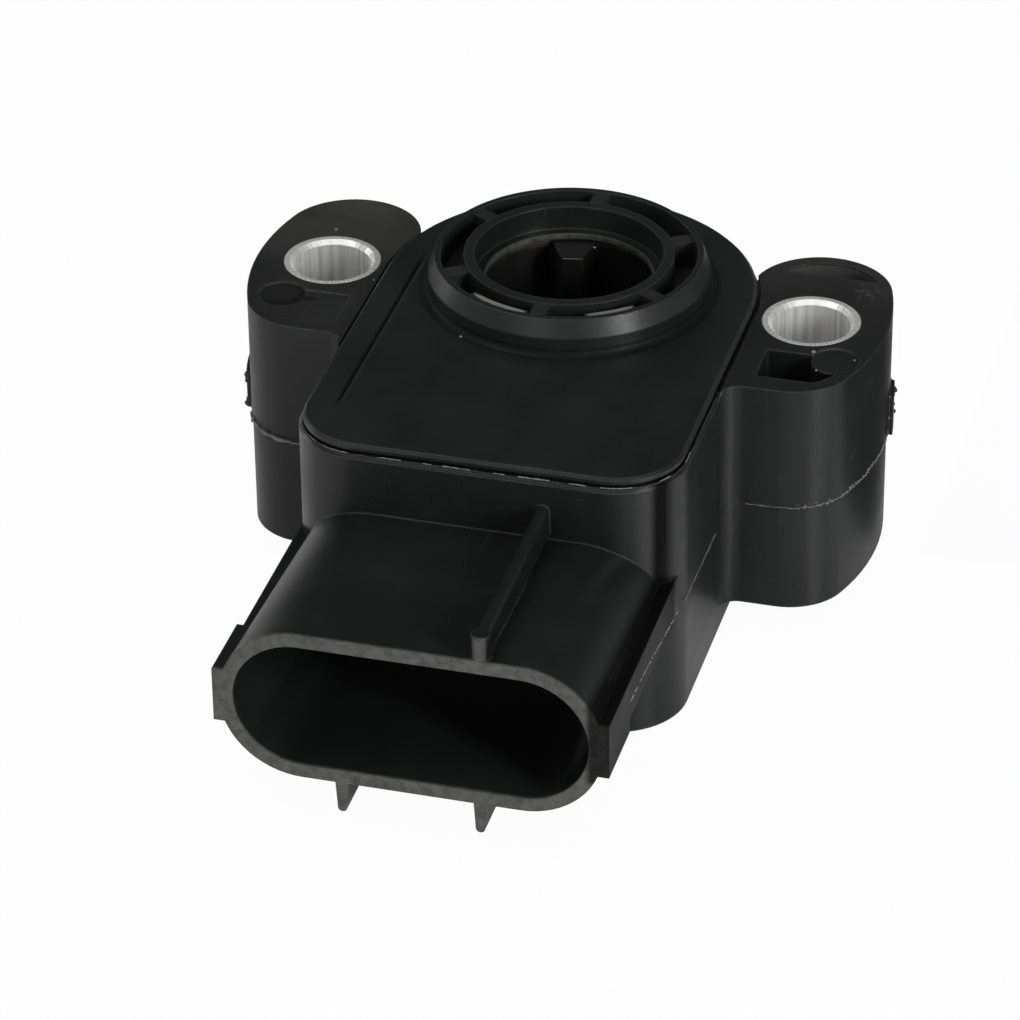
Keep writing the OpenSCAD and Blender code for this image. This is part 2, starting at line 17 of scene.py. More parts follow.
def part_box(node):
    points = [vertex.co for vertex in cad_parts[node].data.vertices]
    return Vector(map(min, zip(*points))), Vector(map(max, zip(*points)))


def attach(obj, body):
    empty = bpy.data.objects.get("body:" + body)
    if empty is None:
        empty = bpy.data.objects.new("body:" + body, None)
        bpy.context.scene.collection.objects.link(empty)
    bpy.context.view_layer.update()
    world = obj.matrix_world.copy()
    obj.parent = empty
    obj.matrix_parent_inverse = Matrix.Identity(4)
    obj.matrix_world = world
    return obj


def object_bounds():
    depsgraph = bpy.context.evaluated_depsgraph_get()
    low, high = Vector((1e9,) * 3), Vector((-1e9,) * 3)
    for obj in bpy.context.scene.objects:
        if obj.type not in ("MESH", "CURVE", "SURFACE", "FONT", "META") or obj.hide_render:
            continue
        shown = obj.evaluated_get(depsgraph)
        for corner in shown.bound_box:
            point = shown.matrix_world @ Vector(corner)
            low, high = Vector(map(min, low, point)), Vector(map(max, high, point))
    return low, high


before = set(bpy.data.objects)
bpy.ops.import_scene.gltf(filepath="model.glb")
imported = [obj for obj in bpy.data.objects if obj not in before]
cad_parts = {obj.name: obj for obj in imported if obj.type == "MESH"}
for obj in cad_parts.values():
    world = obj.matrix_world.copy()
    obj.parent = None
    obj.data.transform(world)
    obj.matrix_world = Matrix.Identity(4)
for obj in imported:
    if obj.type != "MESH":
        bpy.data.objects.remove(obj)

MM = 0.001
cad_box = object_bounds()
print("nodes:", sorted(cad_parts))
print("CAD box in mm:", [[round(c / MM, 2) for c in corner] for corner in cad_box])

# %% [markdown]
# ## The camera
#
# A camera could be placed by eye and nudged until the picture looks right. Here its angles, distance and
# focal length were worked out first from points that can be found on the part, such as the two bores.
# So the camera is built from five numbers: turn, elevation, roll, focal length in pixels and distance,
# and from the place in the frame where the rotor's axis meets the mounting plane.

# %% Camera
FRAME_PX = 1020
TURN, ELEVATION, ROLL = math.radians(15.74), math.radians(32.24), math.radians(-0.65)
FOCAL_PX, DISTANCE = 4939.2, 0.39875
AXIS_PX = (59.24, -219.99)


def camera_axes(turn, elevation, roll):
    """Right, down and forward directions of a camera that looks over the connector."""
    right = Vector((math.cos(turn), math.sin(turn), 0))
    forward = Vector((-math.sin(turn) * math.cos(elevation), math.cos(turn) * math.cos(elevation),
                      -math.sin(elevation)))
    down = forward.cross(right)
    c, s = math.cos(roll), math.sin(roll)
    return c * right - s * down, s * right + c * down, forward


right, down, forward = camera_axes(TURN, ELEVATION, ROLL)
offset = Vector((AXIS_PX[0] / FOCAL_PX, AXIS_PX[1] / FOCAL_PX, 1)) * DISTANCE
place = -(right * offset.x + down * offset.y + forward * offset.z)
camera = bpy.data.objects.new("camera", bpy.data.cameras.new("camera"))
bpy.context.collection.objects.link(camera)
camera.data.sensor_width = 36
camera.data.lens = FOCAL_PX / FRAME_PX * camera.data.sensor_width
camera.data.clip_start, camera.data.clip_end = 0.01, 50
camera.matrix_world = Matrix((right, -down, -forward)).transposed().to_4x4()
camera.location = place
bpy.context.scene.camera = camera
print("camera at", [round(c, 4) for c in place], "lens", round(camera.data.lens, 1))

# %% [markdown]
# ## Floor, world and lamps
#
# A catalogue picture of a black part is taken on a white table, in soft light. The floor is one big sheet
# at the height of the part's feet. Light Path tells its material when the camera or a reflection looks
# at it, and then most of it is plain white, so the table looks even but keeps a soft shadow. From below
# the sheet is clear, so that the underside can be looked at too.
# The world is bright at the horizon in front and straight above, and dim between. The cover faces up,
# so the camera sees the dim band mirrored in it and it stays dark, while the hub's chamfer mirrors the
# bright horizon. The table is a little glossy. A strip lamp on the right, mirrored in the table and then
# in the part, draws the soft upright light on every rounded wall. Photographers also lay cards beside a
# small part: a dark one behind it on the right keeps the ear's far side dark.

# %% Floor
bpy.context.scene.view_settings.view_transform = "Standard"
FLOOR_HALF = 3.0
FLOOR_GAP = 0.02 * MM
FLOOR_Z = cad_box[0][2] - FLOOR_GAP
# Share of plain white in what the camera sees of the table, and in what the part mirrors of it
WHITE_SEEN, WHITE_MIRRORED = 0.965, 0.12


def node(tree, kind, **sockets):
    """Adds a shader node. Names are set as properties if the node has them, else as inputs."""
    made = tree.nodes.new(kind)
    for name, value in sockets.items():
        if hasattr(made, name):
            setattr(made, name, value)
        else:
            made.inputs[name.replace("_", " ")].default_value = value
    return made


def join(tree, *pairs):
    """Links pairs of sockets, from an output to an input."""
    for output, target in pairs:
        tree.links.new(output, target)


def shine_share(tree, for_camera, for_mirrors):
    """How much plain white a ray sees: one share for the camera, one for mirrors and windows."""
    path = node(tree, "ShaderNodeLightPath")
    total = None
    for output, share in (("Is Camera Ray", for_camera), ("Is Glossy Ray", for_mirrors),
                          ("Is Transmission Ray", for_mirrors)):
        part = node(tree, "ShaderNodeMath", operation="MULTIPLY")
        part.inputs[1].default_value = share
        join(tree, (path.outputs[output], part.inputs[0]))
        if total is None:
            total = part.outputs[0]
        else:
            larger = node(tree, "ShaderNodeMath", operation="MAXIMUM")
            join(tree, (total, larger.inputs[0]), (part.outputs[0], larger.inputs[1]))
            total = larger.outputs[0]
    return total


floor_mesh = bpy.data.meshes.new("table_top")
floor_mesh.from_pydata([(x * FLOOR_HALF, y * FLOOR_HALF, FLOOR_Z)
                        for x, y in ((-1, -1), (1, -1), (1, 1), (-1, 1))], [], [(0, 1, 2, 3)])
floor = bpy.data.objects.new("table_top", floor_mesh)
bpy.context.collection.objects.link(floor)

paper = bpy.data.materials.new("white_paper")
paper.use_nodes = True
tree = paper.node_tree
tree.nodes.clear()
matte = node(tree, "ShaderNodeBsdfPrincipled", Base_Color=(0.93, 0.93, 0.93, 1), Roughness=0.16)
plain_white = node(tree, "ShaderNodeEmission", Color=(1, 1, 1, 1), Strength=1)
blend = node(tree, "ShaderNodeMixShader")
window = node(tree, "ShaderNodeMixShader")
clear = node(tree, "ShaderNodeBsdfTransparent")
side = node(tree, "ShaderNodeNewGeometry")
sheet = node(tree, "ShaderNodeOutputMaterial")
join(tree, (shine_share(tree, WHITE_SEEN, WHITE_MIRRORED), blend.inputs[0]),
     (matte.outputs[0], blend.inputs[1]), (plain_white.outputs[0], blend.inputs[2]),
     (side.outputs["Backfacing"], window.inputs[0]), (blend.outputs[0], window.inputs[1]),
     (clear.outputs[0], window.inputs[2]), (window.outputs[0], sheet.inputs["Surface"]))
floor.data.materials.append(paper)
print("floor at", round(FLOOR_Z / MM, 2), "mm")

# %% World
world = bpy.data.worlds.new("studio")
bpy.context.scene.world = world
world.use_nodes = True
tree = world.node_tree
tree.nodes.clear()
direction = node(tree, "ShaderNodeTexCoord")
split = node(tree, "ShaderNodeSeparateXYZ")
ramp = node(tree, "ShaderNodeValToRGB")
# Brightness by the sine of the elevation, from the horizon to straight above
SKY_LEVELS = ((0.0, 0.8), (0.14, 0.7), (0.34, 0.1), (0.68, 0.1), (0.86, 0.9), (1.0, 1.1))
stops = ramp.color_ramp.elements
stops[0].position, stops[1].position = SKY_LEVELS[0][0], SKY_LEVELS[-1][0]
for position, level in SKY_LEVELS[1:-1]:
    stops.new(position)
for stop, (position, level) in zip(stops, SKY_LEVELS):
    stop.color = (level, level, level, 1)
# The sky is dimmer behind the part than it is in front
behind = node(tree, "ShaderNodeMapRange", clamp=True)
for name, value in (("From Min", -0.1), ("From Max", 0.5), ("To Min", 1.0), ("To Max", 0.4)):
    behind.inputs[name].default_value = value
soft_sky = node(tree, "ShaderNodeBackground")
white_wall = node(tree, "ShaderNodeBackground", Color=(1, 1, 1, 1), Strength=1)
path = node(tree, "ShaderNodeLightPath")
blend = node(tree, "ShaderNodeMixShader")
sky = node(tree, "ShaderNodeOutputWorld")
join(tree, (direction.outputs["Generated"], split.inputs[0]), (split.outputs["Z"], ramp.inputs[0]),
     (split.outputs["Y"], behind.inputs["Value"]), (behind.outputs[0], soft_sky.inputs["Strength"]),
     (ramp.outputs[0], soft_sky.inputs["Color"]), (path.outputs["Is Camera Ray"], blend.inputs[0]),
     (soft_sky.outputs[0], blend.inputs[1]), (white_wall.outputs[0], blend.inputs[2]),
     (blend.outputs[0], sky.inputs["Surface"]))
print("world levels from the horizon up:", SKY_LEVELS)

# %% Lamps
# name: place, width, height, power in watts
LAMPS = {
    "top_box": ((-0.45, -0.1, 0.9), 0.5, 0.5, 2.4),
    "left_strip": ((-0.85, 0.15, 0.12), 0.14, 0.5, 1.2),
    "right_strip": ((0.67, -0.42, 0.3), 0.12, 0.3, 5.3),
    "front_fill": ((-0.16, -0.78, 0.28), 0.35, 0.3, 0.8),
}
aim = Vector((0, -10 * MM, -8 * MM))
for name, (spot, wide, tall, power) in LAMPS.items():
    lamp = bpy.data.lights.new(name, "AREA")
    lamp.shape, lamp.size, lamp.size_y, lamp.energy = "RECTANGLE", wide, tall, power
    stand = bpy.data.objects.new(name, lamp)
    bpy.context.collection.objects.link(stand)
    stand.location = spot
    stand.rotation_euler = (aim - Vector(spot)).to_track_quat("-Z", "Y").to_euler()
    stand.visible_camera = False
    print("lamp", name, "at", spot)

# %% Card on the table
CARD_THICK = 0.3 * MM


def table_card(name, corners, colour):
    """A flat card just above the table, which the camera looks through but the part mirrors."""
    (x0, y0), (x1, y1) = corners
    mesh = bpy.data.meshes.new(name)
    level = FLOOR_Z + CARD_THICK
    mesh.from_pydata([(x * MM, y * MM, level) for x, y in ((x0, y0), (x1, y0), (x1, y1), (x0, y1))],
                     [], [(0, 1, 2, 3)])
    card = bpy.data.objects.new(name, mesh)
    bpy.context.collection.objects.link(card)
    card.visible_camera = card.visible_shadow = False
    finish = bpy.data.materials.new(name)
    finish.use_nodes = True
    card_tree = finish.node_tree
    card_tree.nodes.clear()
    face = node(card_tree, "ShaderNodeBsdfDiffuse", Color=colour)
    out = node(card_tree, "ShaderNodeOutputMaterial")
    join(card_tree, (face.outputs[0], out.inputs["Surface"]))
    mesh.materials.append(finish)
    print(name, "from", corners[0], "to", corners[1], "mm")


table_card("dark_card", ((29, 3), (190, 190)), (0.06, 0.06, 0.06, 1))

# %% [markdown]
# ## A toolbox for finishes
#
# Moulded plastic isn't one colour. Its skin copies the steel of the mould, which is lightly sparked, so
# it has a fine grain; the flow leaves faint clouds; handling leaves scratches and dust; and every edge is
# rubbed a little lighter. A painted picture could hold all that, but it would blur close up. Noise
# nodes that read object coordinates stay sharp at any distance and move with the piece, so they are
# used here. Object coordinates are metres, so a noise scale of 1000 gives features of about 1 mm.

# %% Finish helpers
def new_finish(name):
    """A material with a Principled shader; gives back the material, its tree and the shader."""
    finish = bpy.data.materials.new(name)
    finish.use_nodes = True
    return finish, finish.node_tree, finish.node_tree.nodes["Principled BSDF"]


def object_place(tree, stretch=(1, 1, 1)):
    """Object coordinates, stretched along the axes."""
    spot = node(tree, "ShaderNodeTexCoord")
    scaled = node(tree, "ShaderNodeMapping")
    scaled.inputs["Scale"].default_value = stretch
    join(tree, (spot.outputs["Object"], scaled.inputs["Vector"]))
    return scaled.outputs[0]


def noise(tree, scale, detail=4, roughness=0.5, stretch=(1, 1, 1), seed=0.0):
    """Noise between about 0.3 and 0.7, with features about 1 / scale metres wide."""
    cloud = node(tree, "ShaderNodeTexNoise", noise_dimensions="4D")
    cloud.inputs["Scale"].default_value = scale
    cloud.inputs["Detail"].default_value = detail
    cloud.inputs["Roughness"].default_value = roughness
    cloud.inputs["W"].default_value = seed
    join(tree, (object_place(tree, stretch), cloud.inputs["Vector"]))
    return cloud.outputs[0]


def spread(tree, value, low, high, to_low=0.0, to_high=1.0):
    """Stretches the part of a value between low and high over to_low and to_high, and clips it."""
    remap = node(tree, "ShaderNodeMapRange", clamp=True)
    for name, number in (("From Min", low), ("From Max", high), ("To Min", to_low), ("To Max", to_high)):
        remap.inputs[name].default_value = number
    join(tree, (value, remap.inputs["Value"]))
    return remap.outputs[0]


def calc(tree, operation, a, b=None):
    """One step of arithmetic on sockets or numbers."""
    step = node(tree, "ShaderNodeMath", operation=operation)
    for socket, value in zip(step.inputs, (a, b)):
        if value is None:
            continue
        if isinstance(value, (int, float)):
            socket.default_value = value
        else:
            join(tree, (value, socket))
    return step.outputs[0]


def product(tree, *values):
    """Multiplies sockets and numbers."""
    total = values[0]
    for value in values[1:]:
        total = calc(tree, "MULTIPLY", total, value)
    return total


def tint(tree, factor, first, second):
    """Mixes two colours, or a colour socket and a colour, by a factor."""
    mix = node(tree, "ShaderNodeMix", data_type="RGBA")
    join(tree, (factor, mix.inputs["Factor"]))
    for socket, value in ((mix.inputs[6], first), (mix.inputs[7], second)):
        if isinstance(value, tuple):
            socket.default_value = (*value, 1)
        else:
            join(tree, (value, socket))
    return mix.outputs[2]


def rounded(tree, radius):
    """A normal that turns softly over edges, as if they had this radius."""
    soft = node(tree, "ShaderNodeBevel", samples=2)
    soft.inputs["Radius"].default_value = radius
    return soft.outputs[0]


def bumped(tree, heights, normal):
    """Chains height sockets, each with its depth in metres, on top of a normal."""
    for value, depth in heights:
        relief = node(tree, "ShaderNodeBump")
        relief.inputs["Strength"].default_value = 1
        relief.inputs["Distance"].default_value = depth
        join(tree, (value, relief.inputs["Height"]))
        join(tree, (normal, relief.inputs["Normal"]))
        normal = relief.outputs[0]
    return normal


def edge_mask(tree, soft, low=0.02, high=0.22):
    """1 on edges and 0 on flats: where a rounded normal turns away from the true one."""
    true = node(tree, "ShaderNodeNewGeometry")
    dot = node(tree, "ShaderNodeVectorMath", operation="DOT_PRODUCT")
    join(tree, (soft, dot.inputs[0]), (true.outputs["Normal"], dot.inputs[1]))
    return spread(tree, calc(tree, "SUBTRACT", 1.0, dot.outputs["Value"]), low, high)


def dress(names, finish):
    """Puts a finish into every material slot of the named CAD nodes."""
    for name in names:
        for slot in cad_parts[name].material_slots:
            slot.material = finish
    print(finish.name, "on", ", ".join(names), "with", len(finish.node_tree.nodes), "nodes")


# %% [markdown]
# ## Black plastic
#
# Housing, cover and rotor are glass-filled nylon or polyester, dyed black. The recipe is the same for
# all three: a nearly black base that varies by a few shades, dull clouds in the gloss, a fine spark
# grain, long hair scratches, a few pale dust specks, and edges that are rubbed to grey. One function
# makes it. Its arguments make the cover a little greener and smoother than the housing and the rotor
# duller, and a function of its own paints each part's marks, with painted light and painted shade.

# %% Plastic recipe
# How strongly the plastic mirrors on its skin, and where it is dull and out of the light
PLASTIC_SHINE, MATT_SHINE = 0.3, 0.03


def moulded_plastic(name, base, pale, roughness, grain_depth, wear=0.5, seed=0.0, rounding=0.22 * MM,
                    extra=None):
    """extra(tree, shade) may paint over the shade; it also gives a roughness to add, a relief, and a
    mask of places that shine less."""
    finish, tree, shader = new_finish(name)
    clouds = noise(tree, 90, 5, 0.6, seed=seed)
    flow = noise(tree, 260, 3, 0.5, stretch=(1, 0.25, 1), seed=seed + 1)
    grain = noise(tree, 6500, 3, 0.6, seed=seed + 2)
    scratch = noise(tree, 1500, 2, 0.4, stretch=(1, 0.03, 0.4), seed=seed + 3)
    scratches = spread(tree, scratch, 0.68, 0.74)
    specks = node(tree, "ShaderNodeTexVoronoi", feature="F1")
    specks.inputs["Scale"].default_value = 620
    join(tree, (object_place(tree), specks.inputs["Vector"]))
    dust = product(tree, spread(tree, specks.outputs["Distance"], 0.05, 0.02),
                   spread(tree, noise(tree, 140, 2, seed=seed + 4), 0.56, 0.66))
    soft = rounded(tree, rounding)
    edges = product(tree, edge_mask(tree, soft),
                    spread(tree, noise(tree, 900, 4, 0.7, seed=seed + 5), 0.35, 0.62, 0.25, 1.0))
    shade = tint(tree, spread(tree, clouds, 0.36, 0.66), base, tuple(c * 1.45 for c in base))
    shade = tint(tree, product(tree, scratches, 0.06), shade, pale)
    shade = tint(tree, product(tree, dust, 0.4), shade, pale)
    shade = tint(tree, product(tree, edges, wear), shade, pale)
    gloss = calc(tree, "ADD", spread(tree, clouds, 0.35, 0.68, roughness - 0.05, roughness + 0.07),
                 spread(tree, flow, 0.35, 0.65, -0.03, 0.04))
    gloss = calc(tree, "ADD", gloss, product(tree, edges, 0.12))
    reliefs = [(grain, grain_depth), (scratch, 0.003 * MM), (flow, 0.012 * MM)]
    if extra:
        shade, rougher, relief, matt = extra(tree, shade)
        gloss = calc(tree, "ADD", gloss, rougher)
        reliefs.append(relief)
        join(tree, (spread(tree, matt, 0.0, 1.0, PLASTIC_SHINE, MATT_SHINE),
                    shader.inputs["Specular IOR Level"]))
    else:
        shader.inputs["Specular IOR Level"].default_value = PLASTIC_SHINE
    join(tree, (shade, shader.inputs["Base Color"]), (gloss, shader.inputs["Roughness"]),
         (bumped(tree, reliefs, soft), shader.inputs["Normal"]))
    return finish


def object_axes(tree):
    """The three object coordinates as sockets."""
    spot = node(tree, "ShaderNodeTexCoord")
    split = node(tree, "ShaderNodeSeparateXYZ")
    join(tree, (spot.outputs["Object"], split.inputs[0]))
    return split.outputs


def facing_up(tree, low, high):
    """0 on walls and 1 on faces that look up, between two heights of the normal."""
    facing = node(tree, "ShaderNodeNewGeometry")
    upright = node(tree, "ShaderNodeSeparateXYZ")
    join(tree, (facing.outputs["Normal"], upright.inputs[0]))
    return spread(tree, upright.outputs["Z"], low, high)


def distance(tree, across, along):
    """How far a place lies from an upright axis, from its two offsets."""
    squares = calc(tree, "ADD", product(tree, across, across), product(tree, along, along))
    return calc(tree, "SQRT", squares)


def within(tree, value, low, high, soft):
    """1 between two limits in millimetres and 0 outside, with soft ends."""
    return product(tree, spread(tree, value, low * MM, (low + soft) * MM),
                   spread(tree, value, high * MM, (high - soft) * MM))


def disc(tree, x, y, centre_x, centre_y, radius, soft):
    """1 inside an upright round patch and 0 outside."""
    across = calc(tree, "SUBTRACT", x, centre_x * MM)
    along = calc(tree, "SUBTRACT", y, centre_y * MM)
    return spread(tree, distance(tree, across, along), radius * MM, (radius - soft) * MM)


# The outline of an ear: its front line, its corner, and the large circle of its outer side
EAR_FRONT, EAR_CORNER, EAR_BULGE = 11.3 * MM, 5.2 * MM, 22.2 * MM
BULGE_X = 26.2 * MM - EAR_BULGE


def housing_marks(tree, shade):
    """The torn rim of the connector and its duller inside with painted light on its floor, dust and
    painted sheen on the ears, a pocket painted paler with painted light, painted shade on the right rail,
    and a painted shadow in the left ear's pad.
    """
    x, y, z = object_axes(tree)
    bits = noise(tree, 1300, 5, 0.7, seed=51)
    patches = noise(tree, 170, 4, 0.6, seed=52)
    up = facing_up(tree, 0.9, 0.98)
    # The mouth shines less inside, and its floor is painted paler deeper in, lower down and towards the
    # right: painted light
    cavity = product(tree, within(tree, x, -12.6, 12.6, 0.3), within(tree, z, -15.6, -6.9, 0.3),
                     spread(tree, y, -24 * MM, -25 * MM), spread(tree, y, -46.4 * MM, -46.2 * MM))
    painted_light_inside = product(tree, cavity, spread(tree, y, -45 * MM, -33 * MM),
                     spread(tree, x, -10 * MM, -7 * MM), spread(tree, z, -10 * MM, -12 * MM))
    shade = tint(tree, painted_light_inside, shade, (0.11, 0.113, 0.111))
    # The rim of the mouth is torn
    rim = product(tree, spread(tree, y, cad_box[0][1] + 0.35 * MM, cad_box[0][1] + 0.02 * MM),
                  spread(tree, bits, 0.35, 0.6, 0.4, 1.0))
    shade = tint(tree, rim, shade, (0.085, 0.086, 0.083))
    # Dust and a painted sheen lie on the ears' tops, paler towards the back and on the left one, with
    # scuffs on the right one
    ear_top = product(tree, up, spread(tree, z, -0.3 * MM, -0.1 * MM))
    dust_and_sheen = product(tree, ear_top, spread(tree, y, -3 * MM, 9 * MM, 0.08, 0.75),
                    spread(tree, patches, 0.3, 0.6, 0.45, 1.0),
                    spread(tree, x, 12 * MM, -12 * MM, 0.5, 1.3))
    shade = tint(tree, dust_and_sheen, shade, (0.042, 0.043, 0.04))
    scuffs = product(tree, ear_top, disc(tree, x, y, 23.4, 5.6, 1.9, 1.2), spread(tree, bits, 0.53, 0.64))
    shade = tint(tree, scuffs, shade, (0.05, 0.05, 0.048))
    # The shallow pocket behind the right bushing is painted a little paler: painted light
    corner = calc(tree, "SUBTRACT", x, BULGE_X)
    from_bulge = distance(tree, corner, y)
    back_pocket_light = product(tree, spread(tree, x, 13 * MM, 14 * MM), spread(tree, y, 4.4 * MM, 4.8 * MM),
                          spread(tree, from_bulge, EAR_BULGE - 0.5 * MM, EAR_BULGE - 0.65 * MM),
                          spread(tree, z, -0.1 * MM, -0.2 * MM))
    shade = tint(tree, back_pocket_light, shade, (0.05, 0.051, 0.049))
    # The right key rail is painted nearly black and shines less: painted shade
    rail_shade = product(tree, spread(tree, x, 13.4 * MM, 13.9 * MM), spread(tree, y, -25 * MM, -26 * MM),
                   spread(tree, z, -14.5 * MM, -14 * MM))
    shade = tint(tree, product(tree, rail_shade, 0.8), shade, (0.002, 0.002, 0.002))
    # Painted shadow fills the low round pad on the left ear, darkest in a crescent on its right and
    # front, with a smear to its right
    low_pad = disc(tree, x, y, -22.3, -6.2, 1.95, 0.25)
    pad_middle = disc(tree, x, y, -22.75, -5.8, 1.9, 0.9)
    crescent = product(tree, low_pad, calc(tree, "SUBTRACT", 1.0, pad_middle))
    tail = disc(tree, product(tree, x, 0.45), y, -20.0 * 0.45, -6.4, 0.5, 0.4)
    pad_shadow = calc(tree, "MAXIMUM", crescent, product(tree, low_pad, 0.35))
    stain_and_shadow = product(tree, spread(tree, z, -0.6 * MM, -0.3 * MM), calc(tree, "MAXIMUM", pad_shadow, tail),
                    spread(tree, bits, 0.3, 0.45, 0.7, 1.0))
    shade = tint(tree, stain_and_shadow, shade, (0.002, 0.002, 0.002))
    torn = calc(tree, "MAXIMUM", rim, scuffs)
    dust_sheen_and_lit_floor = calc(tree, "ADD", dust_and_sheen, painted_light_inside)
    rougher = calc(tree, "ADD", product(tree, torn, 0.2), product(tree, dust_sheen_and_lit_floor, 0.12))
    return shade, rougher, (product(tree, torn, bits), 0.05 * MM), calc(tree, "MAXIMUM", cavity, rail_shade)


def cover_marks(tree, shade):
    """A crease with painted shade beside the cover's left edge, dull hub pockets painted paler with
    painted light, painted shade at the hub's foot, and a lip with wear and a painted highlight.
    """
    x, y, z = object_axes(tree)
    # The crease runs along the cover at x = -12.65 mm and fades out at both ends; it is a bump, and its
    # dark colour is painted shade
    line = calc(tree, "ABSOLUTE", calc(tree, "ADD", x, 12.65 * MM))
    along = product(tree, spread(tree, y, -23.2 * MM, -21.8 * MM), spread(tree, y, 2.5 * MM, 0.0))
    crease = product(tree, spread(tree, line, 0.3 * MM, 0.06 * MM), along)
    shade = tint(tree, product(tree, crease, 0.8), shade, (0.0015, 0.0015, 0.0015))
    radius = distance(tree, x, y)
    # Painted light: the hub's pockets are painted paler than the cover, and they are rougher
    pocket_light = product(tree, within(tree, radius, 8.45, 10.4, 0.1), within(tree, z, 0.2, 3.35, 0.1))
    shade = tint(tree, pocket_light, shade, (0.014, 0.0145, 0.0138))
    # The bore's lip is painted paler: wear and a painted highlight
    lip_wear_and_highlight = product(tree, within(tree, radius, 6.66, 6.9, 0.08), spread(tree, z, 0.5 * MM, 0.8 * MM),
                  spread(tree, noise(tree, 1100, 4, 0.7, seed=55), 0.35, 0.6, 0.25, 1.0))
    shade = tint(tree, lip_wear_and_highlight, shade, (0.064, 0.063, 0.06))
    # The hollow at the hub's foot is painted darker and shines less: painted shade
    foot_shade = product(tree, within(tree, radius, 11.2, 12.3, 0.2), within(tree, z, 0.35, 1.2, 0.2))
    shade = tint(tree, product(tree, foot_shade, 0.6), shade, (0.003, 0.003, 0.003))
    rougher = product(tree, calc(tree, "MAXIMUM", calc(tree, "MAXIMUM", pocket_light, lip_wear_and_highlight), foot_shade), 0.12)
    return shade, rougher, (crease, -0.09 * MM), calc(tree, "MAXIMUM", crease, product(tree, foot_shade, 0.8))


housing_plastic = moulded_plastic("housing_black", (0.0066, 0.007, 0.007), (0.12, 0.12, 0.117),
                                  0.35, 0.015 * MM, wear=0.7, extra=housing_marks)
cover_plastic = moulded_plastic("cover_black", (0.0074, 0.0084, 0.008), (0.09, 0.092, 0.09),
                                0.34, 0.012 * MM, wear=0.65, seed=7.0, extra=cover_marks)
rotor_plastic = moulded_plastic("rotor_black", (0.0072, 0.0071, 0.0069), (0.15, 0.148, 0.142),
                                0.42, 0.006 * MM, wear=0.3, seed=13.0)
dress(["housing"], housing_plastic)
dress(["hub_cover"], cover_plastic)
dress(["rotor"], rotor_plastic)

# %% Soft shading
# The CAD's flat facets bend by up to 10 degrees, and the hub's chamfer, which stays sharp, by 20.8
SMOOTH_BELOW = math.radians(12.5)
WELD_DISTANCE = 0.002 * MM


def soft_shading(limit):
    """A modifier that shades faces smoothly over edges which bend less than the limit."""
    tree = bpy.data.node_groups.new("soft_shading", "GeometryNodeTree")
    tree.interface.new_socket("Geometry", in_out="INPUT", socket_type="NodeSocketGeometry")
    tree.interface.new_socket("Geometry", in_out="OUTPUT", socket_type="NodeSocketGeometry")
    entry, leave = tree.nodes.new("NodeGroupInput"), tree.nodes.new("NodeGroupOutput")
    forget = tree.nodes.new("GeometryNodeRemoveAttribute")
    forget.inputs["Name"].default_value = "custom_normal"
    weld = tree.nodes.new("GeometryNodeMergeByDistance")
    weld.inputs["Distance"].default_value = WELD_DISTANCE
    bend = tree.nodes.new("GeometryNodeInputMeshEdgeAngle")
    flat = tree.nodes.new("FunctionNodeCompare")
    flat.data_type, flat.operation = "FLOAT", "LESS_THAN"
    flat.inputs["B"].default_value = limit
    faces = tree.nodes.new("GeometryNodeSetShadeSmooth")
    edges = tree.nodes.new("GeometryNodeSetShadeSmooth")
    faces.domain, edges.domain = "FACE", "EDGE"
    join(tree, (entry.outputs[0], forget.inputs[0]), (forget.outputs[0], weld.inputs[0]),
         (weld.outputs[0], faces.inputs[0]), (faces.outputs[0], edges.inputs[0]),
         (bend.outputs["Unsigned Angle"], flat.inputs["A"]),
         (flat.outputs[0], edges.inputs["Shade Smooth"]), (edges.outputs[0], leave.inputs[0]))
    return tree


OUTER_PIECES = ("housing", "hub_cover", "rotor", "rotor_seal", "bushing_left", "bushing_right")
shading = soft_shading(SMOOTH_BELOW)
for name in OUTER_PIECES:
    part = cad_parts[name]
    part.modifiers.new("soft_shading", "NODES").node_group = shading
    evened = part.modifiers.new("evened_normals", "WEIGHTED_NORMAL")
    evened.keep_sharp = True
print("soft shading on", ", ".join(OUTER_PIECES))

# %% [markdown]
# ## Steel bushings
#
# The ears carry pressed-in steel sleeves, so that a screw clamps metal and not plastic. They are cut
# from rolled strip or drawn tube, and the drawing leaves lines along the bore. Those lines need an
# angle: the arc tangent of the two horizontal coordinates, measured from the sleeve's own axis. Noise
# that changes fast with the angle and hardly with the height draws them.

# %% Bushing finish
def polar(tree, centre_x=0.0):
    """Angle, radius and height about an upright axis at centre_x."""
    x, y, z = object_axes(tree)
    across = calc(tree, "SUBTRACT", x, centre_x)
    angle = calc(tree, "ARCTAN2", y, across)
    return angle, distance(tree, across, y), z


def noise_at(tree, scale, detail, *parts):
    """Noise read at a place that is put together from three sockets or numbers."""
    spot = node(tree, "ShaderNodeCombineXYZ")
    for socket, value in zip(spot.inputs, parts):
        if isinstance(value, (int, float)):
            socket.default_value = value
        else:
            join(tree, (value, socket))
    cloud = node(tree, "ShaderNodeTexNoise")
    cloud.inputs["Scale"].default_value = scale
    cloud.inputs["Detail"].default_value = detail
    join(tree, (spot.outputs[0], cloud.inputs["Vector"]))
    return cloud.outputs[0]


